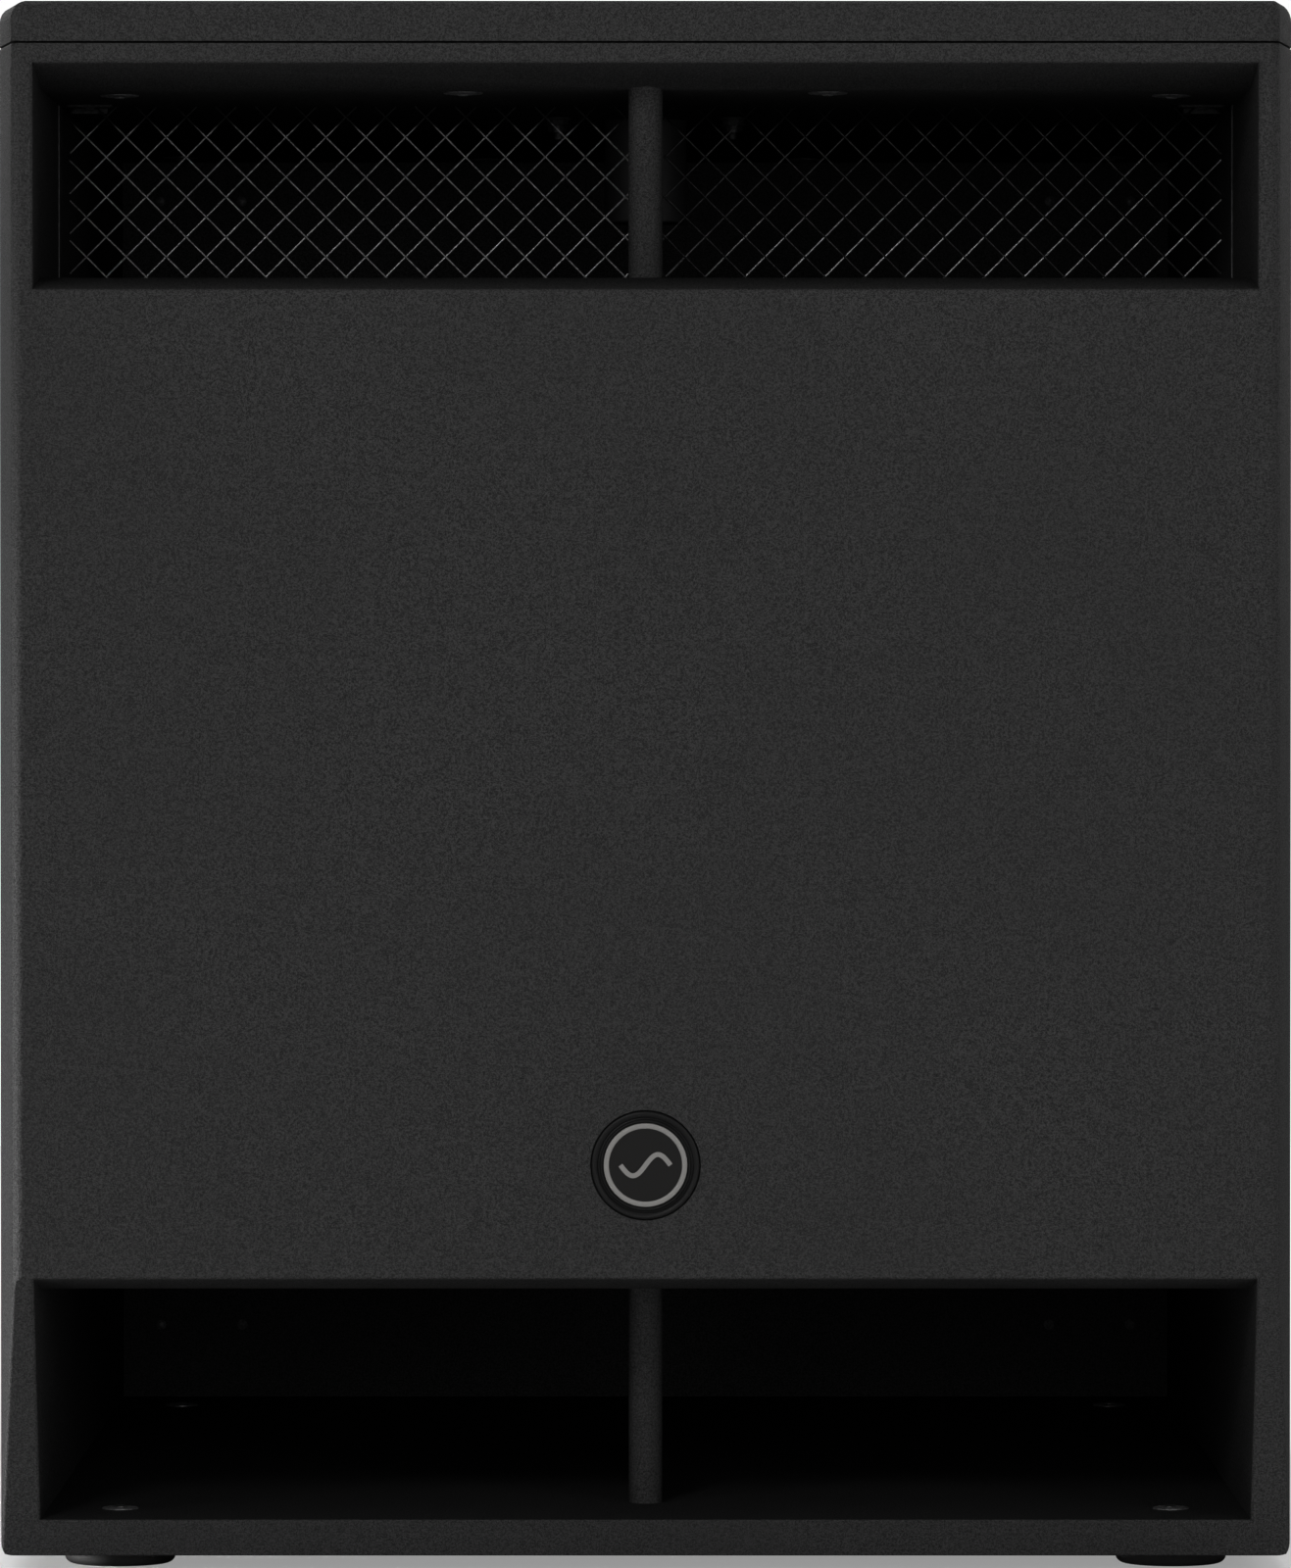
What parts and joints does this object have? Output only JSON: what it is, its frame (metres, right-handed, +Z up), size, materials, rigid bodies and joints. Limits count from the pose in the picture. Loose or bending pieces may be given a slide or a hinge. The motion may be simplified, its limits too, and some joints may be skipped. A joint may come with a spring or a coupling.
{
  "type": "powered subwoofer cabinet",
  "caption": "Powered band-pass subwoofer: black textured plywood box with open ports at top and foot of the front, wire mesh, round badge, rubber feet, pole socket and rear amplifier plate.",
  "frame": {"origin": "centre of the footprint, on the floor under the rubber feet", "axes": "+Z up; the front with the ports faces -Y; +X is to the right seen from the front"},
  "size_m": [0.563, 0.721, 0.683],
  "materials": {
    "coating": "near-black sprayed textured coating on plywood, about 1 mm grain, dull sheen",
    "foot_rubber": "moulded rubber, matt",
    "grip_rubber": "ribbed rubber grip, matt",
    "mesh_wire": "galvanised welded wire, dull grey",
    "black_metal": "fine textured black powder coat",
    "heat_sink": "black anodised extrusion",
    "black_plastic": "glass-filled moulded plastic",
    "bezel": "satin black turned steps",
    "badge_silver": "satin silver ring round a dark field",
    "gasket_foam": "closed-cell foam",
    "circuit_board": "solder resist with components",
    "plated_steel": "zinc plated",
    "ferrite": "sintered ferrite",
    "copper_wire": "enamelled copper winding",
    "cone_paper": "pressed treated paper fibre",
    "surround_cloth": "doped woven cloth roll",
    "spider_cloth": "corrugated woven suspension",
    "cable_jacket": "flexible jacket"
  },
  "bodies": {
    "cabinet": {"left_side_panel": "coating", "right_side_panel": "coating", "bottom_panel": "coating", "ceiling_panel": "coating", "top_lid": "coating", "front_panel": "coating", "rear_panel": "coating", "upper_duct_floor": "coating", "lower_duct_roof": "coating", "upper_brace": "coating", "lower_brace": "coating", "driver_baffle": "coating", "amp_bay_wall": "coating", "amp_bay_roof": "coating", "amp_bay_floor": "coating", "port_mesh": "mesh_wire", "foot_front_left": "foot_rubber", "foot_rear_left": "foot_rubber", "foot_front_right": "foot_rubber", "foot_rear_right": "foot_rubber", "pole_socket": "black_metal", "left_handle_cup": "black_plastic", "left_handle_bar": "grip_rubber", "right_handle_cup": "black_plastic", "right_handle_bar": "grip_rubber", "badge_bezel": "bezel", "badge_disc": "badge_silver", "amp_gasket": "gasket_foam", "amp_plate": "black_metal", "heat_sink": "heat_sink", "amp_board": "circuit_board", "supply_board": "circuit_board", "input_board": "circuit_board", "level_pot": "plated_steel", "switch_body": "black_plastic", "mains_inlet": "black_plastic", "input_jack_a": "black_plastic", "input_jack_b": "black_plastic", "output_jack_a": "black_plastic", "output_jack_b": "black_plastic", "fan_frame": "black_plastic", "driver_gasket": "gasket_foam", "driver_frame": "black_metal", "top_plate": "plated_steel", "magnet_ring": "ferrite", "back_plate": "plated_steel", "surround": "surround_cloth", "spider": "spider_cloth", "speaker_cable": "cable_jacket"},
    "volume_knob": {"level_knob": "black_plastic"},
    "polarity_switch": {"polarity_slider": "black_plastic"},
    "filter_switch": {"filter_slider": "black_plastic"},
    "power_switch": {"power_rocker": "black_plastic"},
    "breaker": {"breaker_button": "black_plastic"},
    "latch_a": {"input_latch_a": "plated_steel"},
    "latch_b": {"input_latch_b": "plated_steel"},
    "fan": {"fan_rotor": "black_plastic"},
    "cone_assembly": {"cone": "cone_paper", "dust_cap": "cone_paper", "voice_coil": "copper_wire"}
  },
  "joints": [
    {"name": "level_knob_turn", "type": "hinge", "parent": "cabinet", "child": "volume_knob", "pos_m": [0.104, 0.355, 0.288], "axis": [0, 1, 0], "range_deg": [-150, 150]},
    {"name": "polarity_slide", "type": "slide", "parent": "cabinet", "child": "polarity_switch", "axis": [1, 0, 0], "range_m": [0, 0.0055]},
    {"name": "filter_slide", "type": "slide", "parent": "cabinet", "child": "filter_switch", "axis": [1, 0, 0], "range_m": [0, 0.0055]},
    {"name": "power_rock", "type": "hinge", "parent": "cabinet", "child": "power_switch", "pos_m": [-0.104, 0.3514, 0.284], "axis": [1, 0, 0], "range_deg": [0, 18]},
    {"name": "breaker_push", "type": "slide", "parent": "cabinet", "child": "breaker", "axis": [0, -1, 0], "range_m": [0, 0.003]},
    {"name": "latch_a_push", "type": "slide", "parent": "cabinet", "child": "latch_a", "axis": [0, -1, 0], "range_m": [0, 0.0015]},
    {"name": "latch_b_push", "type": "slide", "parent": "cabinet", "child": "latch_b", "axis": [0, -1, 0], "range_m": [0, 0.0015]},
    {"name": "fan_spin", "type": "hinge", "parent": "cabinet", "child": "fan", "pos_m": [-0.03, 0.337, 0.178], "axis": [0, 1, 0], "continuous": true},
    {"name": "cone_excursion", "type": "slide", "parent": "cabinet", "child": "cone_assembly", "axis": [0, -0.4226, 0.9063], "range_m": [-0.01, 0.01], "deforming": ["surround", "spider"]}
  ]
}
